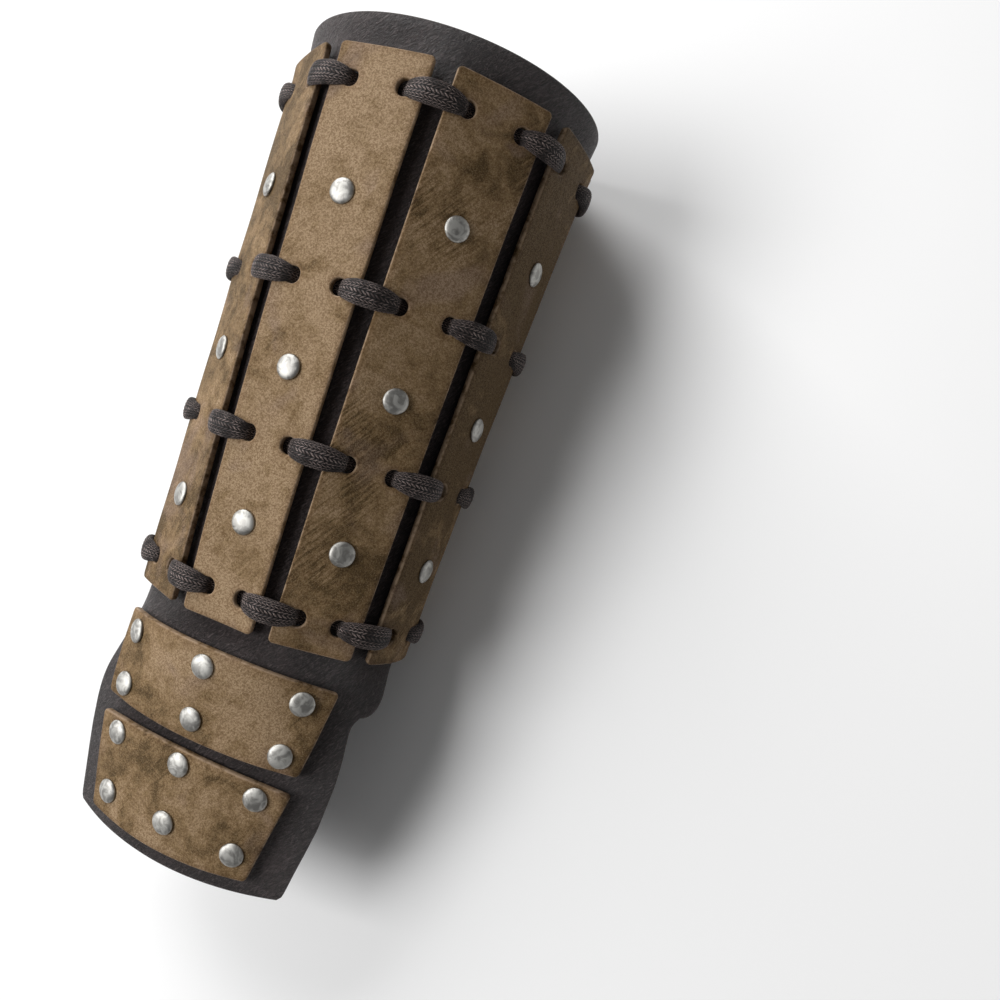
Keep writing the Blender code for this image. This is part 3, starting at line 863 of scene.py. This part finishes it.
def outerStations(y0):  # from the last slat's outer hole round to the middle of the underside
    width = slatWidth(y0)
    edge = slats["eachSide"] * pitch(y0) + width / 2
    hole = edge - slats["holeInset"]
    over = slatTop + cords["clearance"] + cords["pressed"] / 2
    rest = cords["clearance"] + cords["under"] / 2
    close = 2 * cords["clearance"] + cords["slope"] / 2
    flatRun = halfRun(y0) - cords["flatShare"] * halfSizes(y0)[0]
    stations = [(lerp(edge, hole, share), slatTop + rise, thick, wide * cords["width"])
                for share, rise, thick, wide in cords["outer"]]
    return stations + [(edge + cords["edgeShare"] * width, over, cords["pressed"], cords["width"]),
                       (lerp(edge, flatRun, 0.5), close, cords["slope"], cords["behindWidth"]),
                       (flatRun, rest, cords["under"], cords["behindWidth"]),
                       (halfRun(y0), rest, cords["under"], cords["behindWidth"])]


def cordStations(y0):  # run, middle height, thickness and width along a whole loop
    reach = (pitch(y0) - slatWidth(y0)) / 2 + slats["holeInset"]
    low = cords["clearance"] + cords["behind"] / 2
    stations = []
    for slat in slatNumbers:
        stations.append((slat * pitch(y0), low, cords["behind"], cords["behindWidth"]))
        if slat < slats["eachSide"]:
            stations += gapStations((slat + 0.5) * pitch(y0), reach)
    outer = outerStations(y0)
    mirrored = [(-run, height, thick, wide) for run, height, thick, wide in outer][::-1]
    return np.array(mirrored + stations + outer)


# The loop's length, and then distance, run, height, thickness and width at each ring.
# Where the cord is in sight the rings stand closer
def smoothStations(stations):
    length = np.concatenate([[0], np.cumsum(np.hypot(np.diff(stations[:, 0]), np.diff(stations[:, 1])))])
    step = cords["smooth"] / smoothSteps
    reach = 3 * smoothSteps
    fine = np.arange(0, length[-1], step)
    kernel = np.exp(-0.5 * (np.arange(-reach, reach + 1) / smoothSteps) ** 2)
    kernel /= kernel.sum()
    smoothed = []
    for k in (1, 2, 3):
        values = np.interp(fine, length, stations[:, k])
        padded = np.concatenate([values[-reach:], values, values[:reach]])
        smoothed.append(np.convolve(padded, kernel, mode="valid"))
    seen = smoothed[0] + smoothed[1] / 2 > slatTop - cords["seenDepth"]
    pace = np.cumsum(np.where(seen, 1 / cords["fineStep"], 1 / cords["coarseStep"])) * step
    at = np.interp(np.arange(int(pace[-1])), pace, fine)
    run = np.interp(at, length, stations[:, 0])
    return length[-1], at, run, *(np.interp(at, fine, values) for values in smoothed)


def braidHeight(along, across):  # herringbone: each row's stitches lean the other way
    row = np.floor(across)
    share, odd = across - row, row % 2
    turn = (along + share * (1 - 2 * odd) * braidLook["slant"] + odd * braidLook["rowShift"]) % 1.0
    return np.sin(math.pi * turn) * np.sin(math.pi * share) ** braidLook["fullness"]


def squarish(wave):
    return np.sign(wave) * np.abs(wave) ** cords["squareness"]


def makeCord(row, share):
    y0 = share * sleeve["slatLength"]
    length, at, run, height, thick, wide = smoothStations(cordStations(y0))
    count, around = len(at), cords["around"]
    bpy.ops.mesh.primitive_grid_add(x_subdivisions=count, y_subdivisions=around, size=2)
    piece = bpy.context.object
    piece.name = piece.data.name = "braid_cord_" + row
    points = corners(piece.data)
    ring = np.round((points[:, 0] + 1) / 2 * count).astype(int)
    turn = np.round((points[:, 1] + 1) / 2 * around).astype(int)
    angle, step = 2 * math.pi * turn / around, ring % count
    stitches = round(length / cords["stitch"])
    along = np.where(ring == count, length, at[step]) / length * stitches
    across = turn / around * cords["rows"]
    depth = np.clip(thick[step] / cords["reliefThickness"], cords["reliefLeast"], 1) * cords["relief"]
    relief = depth * (braidHeight(along, across) - cords["reliefMiddle"])
    y = y0 + squarish(np.cos(angle)) * wide[step] / 2 + np.cos(angle) * relief
    out = height[step] + squarish(np.sin(angle)) * thick[step] / 2 + np.sin(angle) * relief
    placed = wrap(run[step], y, out)
    placed[:, 2] = np.maximum(placed[:, 2], 0.0)
    setCorners(piece.data, placed)
    addPattern(piece.data, along, across)
    with editing(piece):
        bpy.ops.mesh.remove_doubles(threshold=0.0000005)
        bpy.ops.mesh.normals_make_consistent(inside=False)
    dress(piece, braid, "cord_" + row)


for row, share in cordRows.items():
    makeCord(row, share)
print("cords made")

# Floor, lights and camera
stage = {
    "floorSize": 6.0, "floorHeight": -0.0002, "floorColor": (0.92, 0.92, 0.92),
    "world": (1.0, 1.0, 1.0), "worldStrength": 0.17,
    "cameraPlace": (0.14286, 0.03322, 0.29996), "cameraTurn": (0.2148, 0.2393, 0.3687), "lens": 31.286,
    "sensorWidth": 36.0, "clipStart": 0.01, "lampAim": (0, 0, 0.05),
    # place, size and power of each soft light
    "lights": {"elbowKey": ((-0.94, 1.02, 0.80), 0.9, 20.0), "handKey": ((-0.90, -0.37, 1.27), 0.9, 22.0)},
}


def makeStage():
    bpy.ops.mesh.primitive_plane_add(size=stage["floorSize"], location=(0, 0, stage["floorHeight"]))
    floor = bpy.context.object
    floor.name = floor.data.name = "floor"
    bpy.ops.object.transform_apply(location=True, rotation=False, scale=True)
    paint = Paint("pale floor")
    paint.set({"Base Color": stage["floorColor"], "Roughness": 0.9, "Specular IOR Level": 0.1})
    floor.data.materials.append(paint.material)
    world = bpy.context.scene.world or bpy.data.worlds.new("studio")
    bpy.context.scene.world = world
    world.use_nodes = True
    sky = world.node_tree.nodes["Background"]
    sky.inputs["Color"].default_value = (*stage["world"], 1)
    sky.inputs["Strength"].default_value = stage["worldStrength"]
    for name, (at, size, power) in stage["lights"].items():
        bpy.ops.object.light_add(type="AREA", location=at)
        lamp = bpy.context.object
        lamp.name = name
        lamp.data.size, lamp.data.energy = size, power
        lamp.rotation_euler = (Vector(stage["lampAim"]) - Vector(at)).to_track_quat("-Z", "Y").to_euler()
    bpy.context.scene.view_settings.view_transform = "Standard"
    x, y, z = stage["cameraPlace"]
    bpy.ops.object.camera_add(location=(x, y - lengthMiddle(), z), rotation=stage["cameraTurn"])
    camera = bpy.context.object
    camera.data.lens, camera.data.sensor_width = stage["lens"], stage["sensorWidth"]
    camera.data.clip_start = stage["clipStart"]
    bpy.context.scene.camera = camera


makeStage()
print("stage made")
